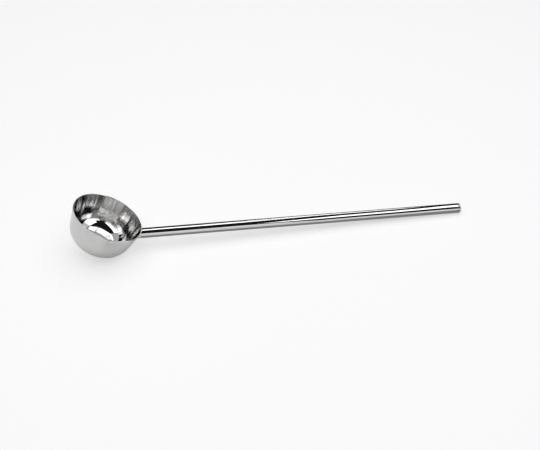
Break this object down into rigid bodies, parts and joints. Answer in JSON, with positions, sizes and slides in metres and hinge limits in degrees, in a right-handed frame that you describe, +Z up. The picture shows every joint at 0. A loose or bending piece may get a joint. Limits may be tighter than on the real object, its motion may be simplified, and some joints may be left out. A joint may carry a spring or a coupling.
{
  "type": "spouted ladle",
  "caption": "Polished steel ladle with a round drawn cup, a pouring lip pulled out of its rim, and a long straight tube handle welded to the wall of the cup and closed at its far end.",
  "frame": {"origin": "middle of the bounding box at the level of the surface that the ladle lies on", "axes": "+Z up; +X along the handle, from the cup to the tip; the pouring lip points to -Y"},
  "size_m": [0.6228, 0.1138, 0.0863],
  "materials": {
    "cup_steel": "mirror-polished stainless steel sheet",
    "tube_steel": "polished stainless steel tube",
    "plug_steel": "polished stainless steel bar",
    "weld_steel": "ground and buffed stainless steel weld"
  },
  "bodies": {
    "root": {"cup": "cup_steel", "handle_tube": "tube_steel", "cup_weld": "weld_steel", "handle_end_plug": "plug_steel", "handle_end_weld": "weld_steel"}
  },
  "joints": []
}
